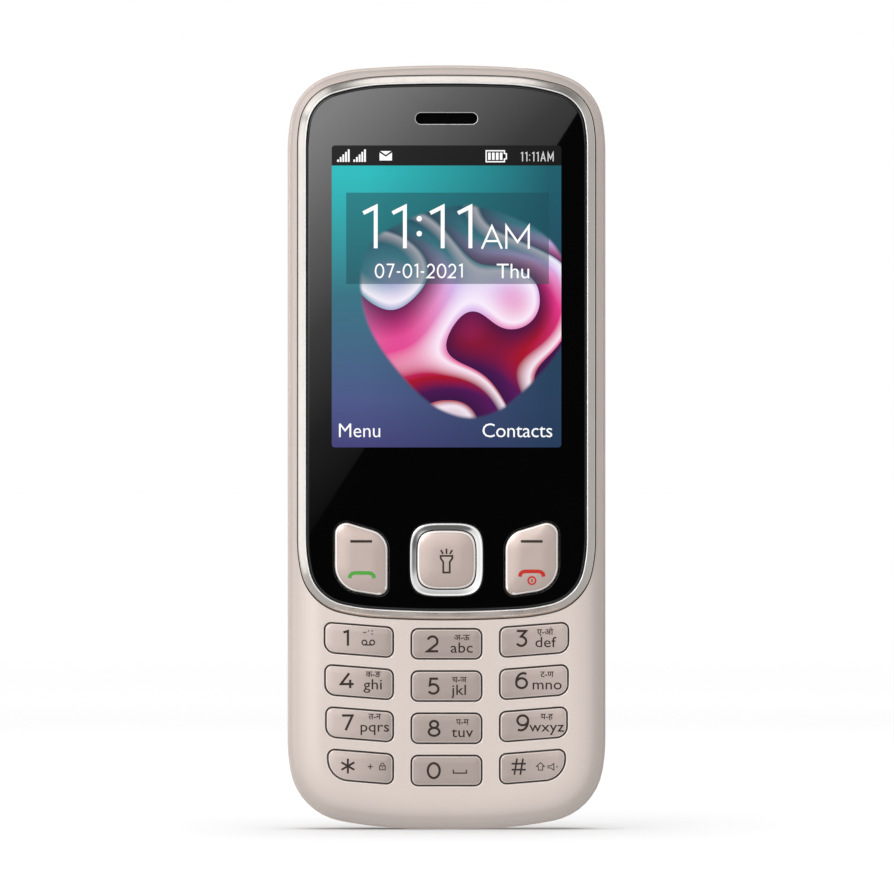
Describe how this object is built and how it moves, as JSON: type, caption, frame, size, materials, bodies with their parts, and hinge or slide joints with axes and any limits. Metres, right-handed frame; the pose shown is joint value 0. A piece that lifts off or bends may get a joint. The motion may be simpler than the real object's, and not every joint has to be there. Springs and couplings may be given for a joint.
{
  "type": "candy-bar mobile phone",
  "caption": "Slim candy-bar feature phone with a colour display behind a raised window, function keys, a four-way pad, a number keypad and a lift-off rear cover over a removable battery.",
  "frame": {"origin": "centre of the bounding box's footprint, at the lower end that the phone stands on", "axes": "+Z along the phone from its lower end to its earpiece end, +X to the right as seen from the front, and the front faces -Y"},
  "size_m": [0.0512, 0.014, 0.123],
  "materials": {
    "rose_paint": "warm champagne lacquer with a fine pearl, satin",
    "key_paint": "champagne grey lacquered keycaps, satin",
    "trim": "bright plated trim",
    "window": "black-backed clear window, polished",
    "display": "lit colour display panel",
    "steel": "pressed nickel-plated sheet",
    "black_plastic": "moulded, fine texture",
    "board": "green solder mask",
    "contacts": "gold-plated",
    "silicone": "milky silicone, matt",
    "clear": "clear moulded lens",
    "battery_wrap": "printed film wrap, satin"
  },
  "bodies": {
    "root": {"front_housing": "rose_paint", "bezel_ring": "trim", "window_lens": "window", "rear_chassis": "black_plastic", "keypad_mat": "silicone", "dome_sheet": "steel", "display_panel": "display", "display_frame": "steel", "display_flex": "contacts", "earpiece_speaker": "black_plastic", "earpiece_mesh": "steel", "main_board": "board", "shield_can_radio": "steel", "shield_can_power": "steel", "sim_holder_left": "steel", "sim_holder_right": "steel", "memory_card_holder": "steel", "micro_usb_socket": "steel", "headphone_jack": "black_plastic", "torch_led": "clear", "torch_lens": "clear", "camera_module": "black_plastic", "loudspeaker": "black_plastic", "vibration_motor": "steel", "motor_weight": "steel", "microphone": "steel", "battery_contacts": "contacts", "antenna_carrier": "black_plastic", "screw_upper_left": "steel", "screw_upper_right": "steel", "screw_lower_left": "steel", "screw_lower_right": "steel"},
    "key_1": {"key_1": "key_paint"},
    "key_2": {"key_2": "key_paint"},
    "key_3": {"key_3": "key_paint"},
    "key_4": {"key_4": "key_paint"},
    "key_5": {"key_5": "key_paint"},
    "key_6": {"key_6": "key_paint"},
    "key_7": {"key_7": "key_paint"},
    "key_8": {"key_8": "key_paint"},
    "key_9": {"key_9": "key_paint"},
    "key_star": {"key_star": "key_paint"},
    "key_0": {"key_0": "key_paint"},
    "key_hash": {"key_hash": "key_paint"},
    "left_function_key": {"left_function_key": "rose_paint"},
    "right_function_key": {"right_function_key": "rose_paint"},
    "nav_base": {"nav_ring_base": "black_plastic"},
    "nav_cap": {"nav_ring": "trim"},
    "centre_key": {"centre_key": "rose_paint"},
    "cover": {"battery_cover": "rose_paint", "camera_window": "clear", "speaker_mesh": "steel"},
    "battery": {"battery": "battery_wrap"}
  },
  "joints": [
    {"name": "key_1_press", "type": "slide", "parent": "root", "child": "key_1", "axis": [0, 1, 0], "range_m": [0, 0.0004], "stiffness_N_per_m": 2000},
    {"name": "key_2_press", "type": "slide", "parent": "root", "child": "key_2", "axis": [0, 1, 0], "range_m": [0, 0.0004], "stiffness_N_per_m": 2000},
    {"name": "key_3_press", "type": "slide", "parent": "root", "child": "key_3", "axis": [0, 1, 0], "range_m": [0, 0.0004], "stiffness_N_per_m": 2000},
    {"name": "key_4_press", "type": "slide", "parent": "root", "child": "key_4", "axis": [0, 1, 0], "range_m": [0, 0.0004], "stiffness_N_per_m": 2000},
    {"name": "key_5_press", "type": "slide", "parent": "root", "child": "key_5", "axis": [0, 1, 0], "range_m": [0, 0.0004], "stiffness_N_per_m": 2000},
    {"name": "key_6_press", "type": "slide", "parent": "root", "child": "key_6", "axis": [0, 1, 0], "range_m": [0, 0.0004], "stiffness_N_per_m": 2000},
    {"name": "key_7_press", "type": "slide", "parent": "root", "child": "key_7", "axis": [0, 1, 0], "range_m": [0, 0.0004], "stiffness_N_per_m": 2000},
    {"name": "key_8_press", "type": "slide", "parent": "root", "child": "key_8", "axis": [0, 1, 0], "range_m": [0, 0.0004], "stiffness_N_per_m": 2000},
    {"name": "key_9_press", "type": "slide", "parent": "root", "child": "key_9", "axis": [0, 1, 0], "range_m": [0, 0.0004], "stiffness_N_per_m": 2000},
    {"name": "key_star_press", "type": "slide", "parent": "root", "child": "key_star", "axis": [0, 1, 0], "range_m": [0, 0.0004], "stiffness_N_per_m": 2000},
    {"name": "key_0_press", "type": "slide", "parent": "root", "child": "key_0", "axis": [0, 1, 0], "range_m": [0, 0.0004], "stiffness_N_per_m": 2000},
    {"name": "key_hash_press", "type": "slide", "parent": "root", "child": "key_hash", "axis": [0, 1, 0], "range_m": [0, 0.0004], "stiffness_N_per_m": 2000},
    {"name": "centre_key_press", "type": "slide", "parent": "root", "child": "centre_key", "axis": [0, 1, 0], "range_m": [0, 0.0004], "stiffness_N_per_m": 2000},
    {"name": "left_function_rock", "type": "hinge", "parent": "root", "child": "left_function_key", "pos_m": [-0.0137, -0.0045, 0.0435], "axis": [1, 0, 0], "range_deg": [-2.2, 2.2], "stiffness_Nm_per_rad": 0.15},
    {"name": "right_function_rock", "type": "hinge", "parent": "root", "child": "right_function_key", "pos_m": [0.0137, -0.0045, 0.0435], "axis": [1, 0, 0], "range_deg": [-2.2, 2.2], "stiffness_Nm_per_rad": 0.15},
    {"name": "nav_rock_left_right", "type": "hinge", "parent": "root", "child": "nav_base", "pos_m": [0, -0.0045, 0.0434], "axis": [0, 0, 1], "range_deg": [-1.5, 1.5], "stiffness_Nm_per_rad": 0.15},
    {"name": "nav_rock_up_down", "type": "hinge", "parent": "nav_base", "child": "nav_cap", "pos_m": [0, -0.0045, 0.0434], "axis": [1, 0, 0], "range_deg": [-1.5, 1.5], "stiffness_Nm_per_rad": 0.15},
    {"name": "cover_lift_off", "type": "slide", "parent": "root", "child": "cover", "axis": [0, 1, 0], "range_m": [0, 0.03]},
    {"name": "battery_lift_out", "type": "slide", "parent": "root", "child": "battery", "axis": [0, 1, 0], "range_m": [0, 0.015]}
  ],
  "couplings": [
    {"joint": "battery_lift_out", "follows": "cover_lift_off", "ratio": 0.5}
  ]
}
